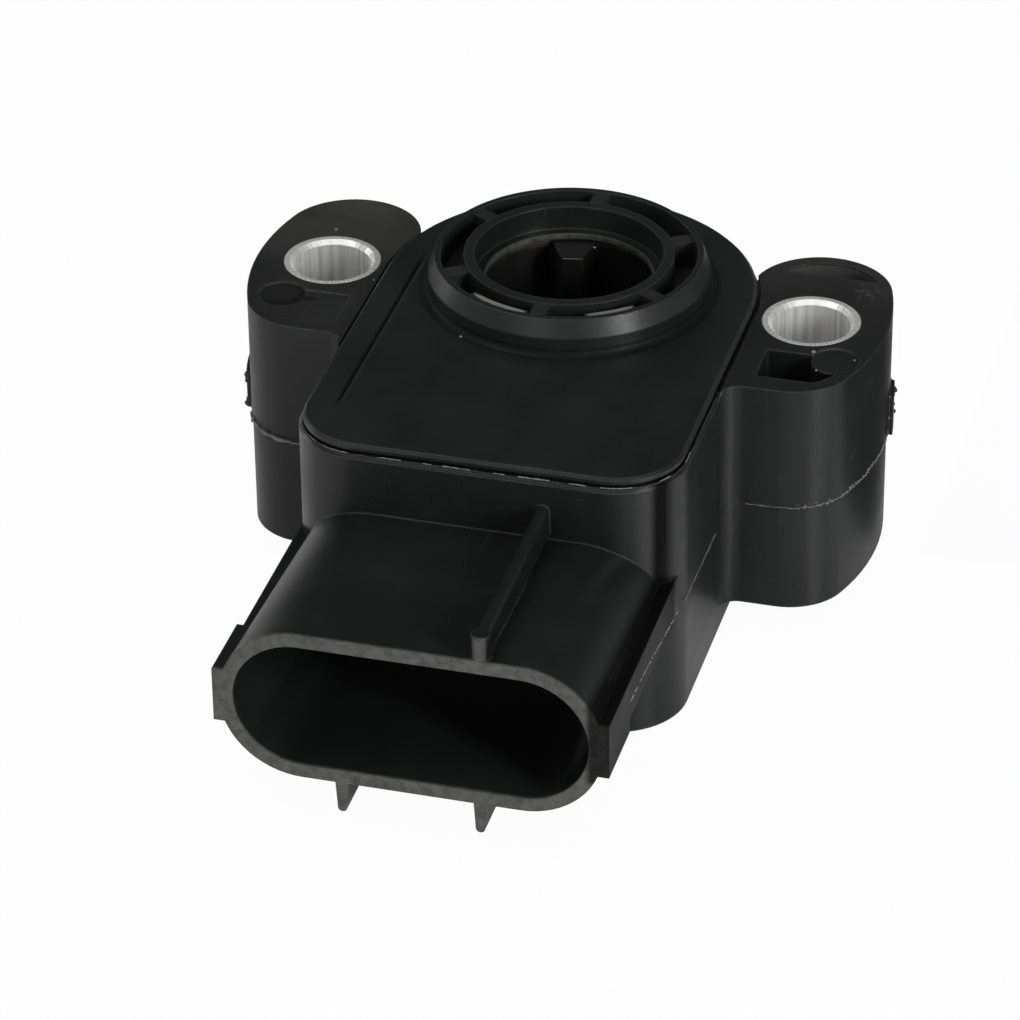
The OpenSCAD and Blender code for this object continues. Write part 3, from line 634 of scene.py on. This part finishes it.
def drawn_steel(name, centre_x):
    """Steel with drawing lines along the bore, and a painted highlight on the lead-in chamfer, which
    faces up.
    """
    finish, tree, shader = new_finish(name)
    angle, _, level = polar(tree, centre_x)
    lines = noise_at(tree, 7.0, 6, angle, product(tree, level, 12), 0.3)
    fine = noise_at(tree, 60.0, 3, angle, product(tree, level, 30), 1.7)
    stain_and_shadow = noise(tree, 420, 4, 0.6, seed=3.0)
    soft = rounded(tree, 0.12 * MM)
    edges = edge_mask(tree, soft)
    shade = tint(tree, spread(tree, lines, 0.3, 0.64), (0.6, 0.595, 0.57), (0.95, 0.95, 0.94))
    shade = tint(tree, spread(tree, stain_and_shadow, 0.58, 0.76, 0.0, 0.3), shade, (0.42, 0.4, 0.36))
    shade = tint(tree, product(tree, edges, 0.8), shade, (0.92, 0.92, 0.91))
    # Painted highlight: faces that look up, such as the lead-in chamfer, are painted near white and made
    # smoother
    ring = facing_up(tree, 0.25, 0.4)
    shade = tint(tree, product(tree, ring, 0.7), shade, (1.0, 1.0, 0.99))
    dull = calc(tree, "SUBTRACT", spread(tree, fine, 0.3, 0.7, 0.34, 0.5), product(tree, ring, 0.14))
    join(tree, (shade, shader.inputs["Base Color"]), (dull, shader.inputs["Roughness"]),
         (bumped(tree, [(lines, 0.03 * MM), (fine, 0.006 * MM)], soft), shader.inputs["Normal"]))
    shader.inputs["Metallic"].default_value = 0.68
    return finish


for side, name in ((-1, "bushing_left"), (1, "bushing_right")):
    low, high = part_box(name)
    dress([name], drawn_steel("steel_of_" + name, (low[0] + high[0]) / 2))

# %% [markdown]
# ## Metals inside
#
# The contact springs are beryllium copper, the terminals are tinned brass, the rivets plain brass and the
# return spring is hard-drawn steel wire. Each of them is a metal with its own colour, rolling or drawing
# lines, and a few dull spots. One recipe with a direction for the lines serves all four.

# %% Metal recipe
def worked_metal(name, bright, dull, roughness, stretch, line_depth, seed):
    """A metal between two colours, with rolled or drawn lines and dull spots."""
    finish, tree, shader = new_finish(name)
    lines = noise(tree, 2600, 4, 0.6, stretch=stretch, seed=seed)
    spots = noise(tree, 700, 5, 0.65, seed=seed + 1)
    soft = rounded(tree, 0.07 * MM)
    edges = edge_mask(tree, soft)
    shade = tint(tree, spread(tree, lines, 0.35, 0.65), dull, bright)
    shade = tint(tree, spread(tree, spots, 0.55, 0.75, 0.0, 0.6), shade, tuple(c * 0.55 for c in dull))
    shade = tint(tree, product(tree, edges, 0.5), shade, tuple(min(1, c * 1.15) for c in bright))
    gloss = spread(tree, spots, 0.3, 0.7, roughness - 0.07, roughness + 0.12)
    join(tree, (shade, shader.inputs["Base Color"]), (gloss, shader.inputs["Roughness"]),
         (bumped(tree, [(lines, line_depth)], soft), shader.inputs["Normal"]))
    shader.inputs["Metallic"].default_value = 1
    return finish


dress(["signal_wiper", "idle_wiper"],
      worked_metal("contact_copper", (0.9, 0.62, 0.36), (0.72, 0.46, 0.25), 0.26, (1, 0.05, 1),
                   0.006 * MM, 21))
dress(["terminal_supply", "terminal_signal", "terminal_idle", "terminal_ground"],
      worked_metal("tinned_brass", (0.82, 0.8, 0.76), (0.62, 0.6, 0.56), 0.32, (1, 0.06, 1),
                   0.008 * MM, 23))
dress(["rivet_supply", "rivet_signal", "rivet_idle", "rivet_ground"],
      worked_metal("rivet_brass", (0.86, 0.66, 0.33), (0.6, 0.44, 0.2), 0.3, (1, 1, 1), 0.008 * MM, 25))
dress(["return_spring"],
      worked_metal("spring_wire", (0.6, 0.6, 0.61), (0.36, 0.36, 0.37), 0.3, (1, 1, 0.2), 0.01 * MM, 27))

# %% [markdown]
# ## Rubber, nylon and ceramic
#
# The seal ring is a dull rubber with a bloom of talc. The thrust washer is milky nylon that lets some
# light in. The board is fired ceramic: slightly grainy and white, with two dark printed resistor tracks
# in rings. The rings are drawn by the distance from the rotor's axis, with no picture: a track is where
# that distance lies between two radii.

# %% Soft and ceramic finishes
seal_rubber, tree, shader = new_finish("seal_rubber")
bloom = noise(tree, 500, 5, 0.7, seed=31)
skin = noise(tree, 5000, 3, 0.6, seed=32)
join(tree, (tint(tree, spread(tree, bloom, 0.45, 0.75), (0.012, 0.0095, 0.009), (0.05, 0.045, 0.042)),
            shader.inputs["Base Color"]),
     (spread(tree, bloom, 0.35, 0.7, 0.55, 0.8), shader.inputs["Roughness"]),
     (bumped(tree, [(skin, 0.01 * MM)], rounded(tree, 0.1 * MM)), shader.inputs["Normal"]))
dress(["rotor_seal"], seal_rubber)

washer_nylon, tree, shader = new_finish("washer_nylon")
milk = noise(tree, 800, 4, 0.6, seed=33)
rub = noise(tree, 2200, 3, 0.6, stretch=(1, 0.1, 1), seed=34)
join(tree, (tint(tree, spread(tree, milk, 0.35, 0.7), (0.62, 0.6, 0.5), (0.74, 0.72, 0.63)),
            shader.inputs["Base Color"]),
     (spread(tree, rub, 0.35, 0.65, 0.3, 0.5), shader.inputs["Roughness"]),
     (bumped(tree, [(rub, 0.006 * MM)], rounded(tree, 0.1 * MM)), shader.inputs["Normal"]))
shader.inputs["Subsurface Weight"].default_value = 0.2
shader.inputs["Subsurface Radius"].default_value = (0.5 * MM, 0.45 * MM, 0.35 * MM)
dress(["thrust_washer"], washer_nylon)

# %% Ceramic board with its printed tracks
SIGNAL_TRACK, IDLE_TRACK = (8.5 * MM, 9.9 * MM), (7.3 * MM, 8.1 * MM)
ceramic, tree, shader = new_finish("board_ceramic")
_, radius, _ = polar(tree)
uneven = calc(tree, "SUBTRACT", noise(tree, 3000, 3, seed=35), 0.5)
edge_wobble = product(tree, uneven, 0.12 * MM)
wobbly = calc(tree, "ADD", radius, edge_wobble)
tracks = None
for inner, outer in (SIGNAL_TRACK, IDLE_TRACK):
    ring = product(tree, spread(tree, wobbly, inner, inner + 0.04 * MM),
                   spread(tree, wobbly, outer, outer - 0.04 * MM))
    tracks = ring if tracks is None else calc(tree, "MAXIMUM", tracks, ring)
grain = noise(tree, 4200, 4, 0.6, seed=36)
shade = tint(tree, spread(tree, grain, 0.35, 0.7), (0.7, 0.69, 0.64), (0.82, 0.81, 0.77))
shade = tint(tree, tracks, shade, (0.02, 0.02, 0.022))
gloss = calc(tree, "SUBTRACT", spread(tree, grain, 0.3, 0.7, 0.45, 0.6), product(tree, tracks, 0.15))
relief = bumped(tree, [(grain, 0.004 * MM), (tracks, 0.02 * MM)], rounded(tree, 0.08 * MM))
join(tree, (shade, shader.inputs["Base Color"]), (gloss, shader.inputs["Roughness"]),
     (relief, shader.inputs["Normal"]))
dress(["resistor_board"], ceramic)

# %% [markdown]
# ## Weld bead round the cover
#
# The cover is welded into the housing, and the melt that squeezes out of the joint shows as a thin,
# broken bead in the groove round the cover's edge. A texture can't stand up in a groove, so the bead is
# a mesh: a path that follows the groove, and a small ring of points at every step whose size jumps at
# random, which is how broken melt looks. The random numbers are seeded, so every run gives the same.

# %% Bead tools
def outline_path(half, front, corner, step):
    """Points round the body's outline in plan, from the back past the left side and the front."""
    points = []
    arc_steps = max(2, int(math.pi * half / 2 / step))
    for i in range(arc_steps + 1):
        a = math.pi / 2 + (math.pi / 2) * i / arc_steps
        points.append((half * math.cos(a), half * math.sin(a)))
    turns = max(2, int(math.pi / 2 * corner / step))
    for cx, start in ((corner - half, math.pi), (half - corner, 1.5 * math.pi)):
        previous = points[-1]
        first = (cx + corner * math.cos(start), front + corner + corner * math.sin(start))
        length = math.dist(previous, first)
        count = max(1, int(length / step))
        points += [(previous[0] + (first[0] - previous[0]) * j / count,
                    previous[1] + (first[1] - previous[1]) * j / count) for j in range(1, count)]
        for j in range(turns + 1):
            a = start + math.pi / 2 * j / turns
            points.append((cx + corner * math.cos(a), front + corner + corner * math.sin(a)))
    last, count = points[-1], int(-points[-1][1] / step)
    points += [(last[0], last[1] * (1 - j / count)) for j in range(1, count)]
    for i in range(arc_steps):
        a = (math.pi / 2) * i / arc_steps
        points.append((half * math.cos(a), half * math.sin(a)))
    return points


def new_piece(name, bm, finish, smooth=True, body="sensor_body"):
    """Turns a bmesh into a piece that rides on a body: the still housing or the turning rotor."""
    mesh = bpy.data.meshes.new(name)
    bmesh.ops.recalc_face_normals(bm, faces=bm.faces)
    bm.to_mesh(mesh)
    bm.free()
    for face in mesh.polygons:
        face.use_smooth = smooth
    mesh.materials.append(finish)
    piece = bpy.data.objects.new(name, mesh)
    bpy.context.collection.objects.link(piece)
    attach(piece, body)
    print(name, len(mesh.polygons), "faces")


def ragged_bead(bm, path, size, rng, sides=5, closed=False):
    """A tube along a path whose radius jumps between a trace and its full size."""
    rings = []
    count = len(path)
    for i, point in enumerate(path):
        ahead = Vector(path[(i + 1) % count if closed else min(i + 1, count - 1)])
        behind = Vector(path[i - 1 if closed or i else 0])
        along = (ahead - behind).normalized()
        across = along.cross(Vector((0, 0, 1)))
        across = across.normalized() if across.length > 1e-6 else Vector((1, 0, 0))
        up = across.cross(along)
        r = size * rng.choice((0.35, 0.45, 0.6, 0.8, 1.0)) * rng.uniform(0.8, 1.1)
        middle = Vector(point) + (across * rng.uniform(-0.3, 0.3) + up * rng.uniform(-0.3, 0.3)) * size
        rings.append([bm.verts.new(middle + r * (math.cos(t) * across + math.sin(t) * up))
                      for t in (2 * math.pi * k / sides for k in range(sides))])
    for i in range(count if closed else count - 1):
        a, b = rings[i], rings[(i + 1) % count]
        for k in range(sides):
            bm.faces.new((a[k], a[(k + 1) % sides], b[(k + 1) % sides], b[k]))
    if not closed:
        bm.faces.new(rings[0])
        bm.faces.new(list(reversed(rings[-1])))


# %% Weld bead
weld_melt = moulded_plastic("weld_melt", (0.02, 0.0203, 0.02), (0.3, 0.3, 0.29), 0.45, 0.006 * MM,
                            wear=0.5, seed=41.0, rounding=0.04 * MM)
torn_plastic = moulded_plastic("torn_plastic", (0.12, 0.121, 0.117), (0.5, 0.5, 0.48), 0.55, 0.01 * MM,
                               wear=0.6, seed=43.0, rounding=0.03 * MM)
# The groove's middle line: half width, front and corner radius
GROOVE = (15.25 * MM, -28.15 * MM, 5.6 * MM)
BEAD_Z, FLECK_Z = -0.34 * MM, -0.27 * MM
rng = random.Random(11)
bm = bmesh.new()
groove = outline_path(*GROOVE, 0.22 * MM)
ragged_bead(bm, [(x, y, BEAD_Z) for x, y in groove], 0.085 * MM, rng, closed=True)
new_piece("weld_bead", bm, weld_melt, smooth=False)

# %% Weld flecks
rng = random.Random(19)
bm = bmesh.new()
start = 0
while start < len(groove) - 10:
    length = rng.randint(3, 12)
    x, y = groove[start]
    if y < -20 * MM or rng.random() < 0.25:
        ragged_bead(bm, [(gx, gy, FLECK_Z) for gx, gy in groove[start:start + length]], 0.07 * MM,
                    rng, sides=4)
    start += length + rng.randint(2, 10)
new_piece("weld_flecks", bm, torn_plastic, smooth=False)

# %% [markdown]
# ## Flash on the parting line
#
# Where the halves of the mould meet, a film of plastic squeezes out and is torn off. What stays is a
# ragged, lighter line round the ears and along the body's side. It is made like the weld bead, with a
# flatter and thinner path of its own.

# %% Parting flash
PARTING_Z = -10.7 * MM
# From the board's edge, which follows the body's width, to the body's side
BOARD_TO_SIDE = 3.51 * MM
# The right rail's upper edge, from the body to the mouth, in millimetres
RAIL_EDGE = ((15.1, -24.8, -12.8), (15.1, -29.7, -12.2), (15.1, -34.7, -11.6), (15.1, -40.6, -11.2))


def ear_side_path(step, end_y):
    """Points round the right ear at the parting line: along its front, its corner and its outer bulge."""
    corner_y = EAR_CORNER - EAR_FRONT
    corner_x = BULGE_X + math.sqrt((EAR_BULGE - EAR_CORNER) ** 2 - corner_y ** 2)
    points = [(x * MM, -EAR_FRONT) for x in (17.4, 17.8, 18.2, 18.6, 19.0, 19.4)]
    end = math.atan2(corner_y, corner_x - BULGE_X)
    turns = int((end + math.pi / 2) * EAR_CORNER / step)
    for j in range(turns + 1):
        a = -math.pi / 2 + (end + math.pi / 2) * j / turns
        points.append((corner_x + EAR_CORNER * math.cos(a), corner_y + EAR_CORNER * math.sin(a)))
    a = end
    while EAR_BULGE * math.sin(a) < end_y:
        a += step / EAR_BULGE
        points.append((BULGE_X + EAR_BULGE * math.cos(a), EAR_BULGE * math.sin(a)))
    return points


rng = random.Random(23)
bm = bmesh.new()
for side in (-1, 1):
    ragged_bead(bm, [(side * x, y, PARTING_Z + rng.uniform(-0.06, 0.06) * MM)
                     for x, y in ear_side_path(0.22 * MM, 4.5 * MM)], 0.075 * MM, rng, sides=4)
body_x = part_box("resistor_board")[1][0] + BOARD_TO_SIDE
for side in (-1, 1):
    seam = [(side * body_x, (-13.4 - 0.28 * i) * MM,
             (-12.5 + 0.006 * i + rng.uniform(-0.06, 0.06)) * MM) for i in range(38)]
    ragged_bead(bm, seam, 0.06 * MM, rng, sides=4)
left_ledge = [(-x, y - 0.22 * MM, PARTING_Z - 0.04 * MM) for x, y in ear_side_path(0.3 * MM, -7.5 * MM)]
ragged_bead(bm, left_ledge, 0.17 * MM, rng, sides=5)
RAIL_STEPS = 22
rail_points = [tuple((a[k] + (b[k] - a[k]) * t / RAIL_STEPS) * MM for k in range(3))
               for a, b in zip(RAIL_EDGE, RAIL_EDGE[1:]) for t in range(RAIL_STEPS)]
ragged_bead(bm, rail_points, 0.16 * MM, rng, sides=5)
new_piece("parting_flash", bm, torn_plastic, smooth=False)

# %% Mouth flash
def mouth_ring(half, radius, step):
    """Points round the connector's oval, from the left end over the top and back."""
    cx = half - radius
    points = []
    arc_steps = int(math.pi * radius / step)
    for centre, start in ((-cx, 1.5 * math.pi), (cx, 0.5 * math.pi)):
        for i in range(arc_steps + 1):
            a = start - math.pi * i / arc_steps
            points.append((centre + radius * math.cos(a), radius * math.sin(a)))
        straight = int(2 * cx / step)
        sign = 1 if centre < 0 else -1
        points += [(centre + sign * 2 * cx * i / straight, sign * radius) for i in range(1, straight)]
    return points


MOUTH_Z, MOUTH_TOP = -11.2 * MM, -6.2 * MM
RIM_INSET = 0.16 * MM
rng = random.Random(31)
bm = bmesh.new()
ring = [(x, z + MOUTH_Z) for x, z in mouth_ring(13.95 * MM, 5.45 * MM, 0.25 * MM)]
start = 0
while start < len(ring) - 8:
    length = rng.randint(5, 26)
    part = ring[start:start + length]
    if len(part) > 2:
        size = (0.11 if part[0][1] > MOUTH_TOP else 0.06) * MM
        ragged_bead(bm, [(x, cad_box[0][1] + RIM_INSET, z) for x, z in part], size, rng, sides=4)
    start += length + rng.randint(2, 12)
new_piece("mouth_flash", bm, torn_plastic, smooth=False)

# %% [markdown]
# ## Small marks
#
# A few single crumbs catch the eye: a pimple behind the left bushing, a nib in front of the right one,
# a crumb at the hub's foot and one on the drive lug. The marks where the plastic entered the mould, on
# the ears' outer sides, are torn lumps. Each crumb is a small ball that is squashed and pushed about a
# little, because a clean sphere would look like a ball bearing. The two pale strips in the hub's front
# pockets are painted highlights on the ledges there: thin pale curved plates, rounded at both ends.

# %% Crumbs
def crumb(bm, spot, size, rng):
    """A dented ball sunk halfway into what it sits on. The spot is in millimetres."""
    centre = Vector(spot) * MM
    made = bmesh.ops.create_icosphere(bm, subdivisions=2, radius=size, matrix=Matrix.Translation(centre))
    for vertex in made["verts"]:
        away = vertex.co - centre
        vertex.co = centre + Vector((away.x, away.y, away.z * 0.7)) * rng.uniform(0.8, CRUMB_SWELL)


def bulge_at(y):
    """How far the right ear's outer side stands from the middle at this y, both in millimetres."""
    return BULGE_X / MM + math.sqrt((EAR_BULGE / MM) ** 2 - y * y)


CRUMB_SWELL = 1.15
# Spots in millimetres and radii of the single crumbs on the ears' tops
EAR_SPOTS = (((-21.2, 4.95, 0.0), 0.16), ((21.2, -4.75, 0.0), 0.2), ((-15.75, -2.4, 0.0), 0.12),
             ((22.0, -7.4, -0.05), 0.12), ((24.6, -5.2, 0.0), 0.1))
rng = random.Random(5)
bm = bmesh.new()
for spot, size in EAR_SPOTS:
    crumb(bm, spot, size * MM, rng)
for side, first in ((1, 2.4), (-1, -6.4)):
    for i in range(26):
        y = first + rng.uniform(-0.1, 3.1)
        x = bulge_at(y) + rng.uniform(-0.05, 0.1)
        crumb(bm, (side * x, y, rng.uniform(-11.3, -7.5)), rng.uniform(0.08, 0.15) * MM, rng)
corner_path = [p for p in ear_side_path(0.1 * MM, 3.0 * MM) if p[0] > 21.5 * MM]
for i in range(70):
    x, y = rng.choice(corner_path)
    spot = (x / MM - 0.03, y / MM, -10.7 + rng.uniform(-0.15, 0.3))
    crumb(bm, spot, rng.uniform(0.05, 0.12) * MM, rng)
new_piece("ear_crumbs", bm, torn_plastic)

# %% Gate marks
# The lumps stay behind this distance from the middle, which is inside the CAD box, in millimetres
GATE_LIMIT = 26.2
gate_rng = random.Random(47)
bm = bmesh.new()
for side, low in ((1, 3.2), (-1, -6.6)):
    for i in range(22):
        y = low + gate_rng.uniform(0.0, 2.4)
        z = gate_rng.choice((-11.0, -9.9, -8.7)) + gate_rng.uniform(-0.35, 0.35)
        x = bulge_at(y) + gate_rng.uniform(0.1, 0.34)
        size = gate_rng.uniform(0.2, 0.42)
        crumb(bm, (side * min(x, GATE_LIMIT - CRUMB_SWELL * size), y, z), size * MM, gate_rng)
new_piece("gate_crumbs", bm, weld_melt)

# %% Marks on the hub and on the drive lug
bm = bmesh.new()
crumb(bm, (-6.2, -10.2, 0.5), 0.13 * MM, rng)
new_piece("hub_crumb", bm, torn_plastic)

# The pale bead along the drive lug's top edge and the crumb on it turn with the rotor
LUG_EDGE = (Vector((-1.55, 3.66, 0.69)), Vector((0.0, 3.97, 0.69)))
LUG_STEPS = 14
edge_points = [tuple(LUG_EDGE[0].lerp(LUG_EDGE[1], i / LUG_STEPS) * MM) for i in range(LUG_STEPS + 1)]
bm = bmesh.new()
ragged_bead(bm, edge_points, 0.05 * MM, rng, sides=5)
crumb(bm, (0.52, 6.09, 0.7), 0.13 * MM, rng)
new_piece("lug_marks", bm, torn_plastic, body="rotor")


# %% Painted highlights on the ledges
def curved_strip(bm, inner, outer, first, last, level, thick, steps=28):
    """A thin plate between two radii and two directions in degrees, with ends that taper round."""
    rings = []
    for i in range(steps + 1):
        t = i / steps
        a = math.radians(first + (last - first) * t)
        ease = min(1.0, 5 * t, 5 * (1 - t)) ** 0.5
        middle, half = (inner + outer) / 2, max(0.02 * MM, (outer - inner) / 2 * ease)
        rings.append([bm.verts.new((r * math.cos(a), r * math.sin(a), z))
                      for r, z in ((middle - half, level), (middle + half, level),
                                   (middle + half, level + thick), (middle - half, level + thick))])
    for a, b in zip(rings, rings[1:]):
        for k in range(4):
            bm.faces.new((a[k], a[(k + 1) % 4], b[(k + 1) % 4], b[k]))
    bm.faces.new(rings[0])
    bm.faces.new(list(reversed(rings[-1])))


# Painted highlight: pale plates on the ledges' tops in the hub's front pockets
ledge_highlight_plastic = moulded_plastic("ledge_highlight_plastic", (0.13, 0.131, 0.128), (0.35, 0.35, 0.34), 0.4,
                                 0.004 * MM, wear=0.4, seed=61.0, rounding=0.03 * MM)
LEDGE_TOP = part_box("hub_cover")[1][2] - 0.3 * MM
LEDGE_INNER, LEDGE_OUTER = 9.52 * MM, 9.95 * MM
# First and last direction of each strip, in degrees
LEDGE_SPANS = ((-126, -96), (-67, -44))
HIGHLIGHT_THICK = 0.04 * MM
bm = bmesh.new()
for first, last in LEDGE_SPANS:
    curved_strip(bm, LEDGE_INNER, LEDGE_OUTER, first, last, LEDGE_TOP, HIGHLIGHT_THICK)
new_piece("ledge_highlights", bm, ledge_highlight_plastic, smooth=False)
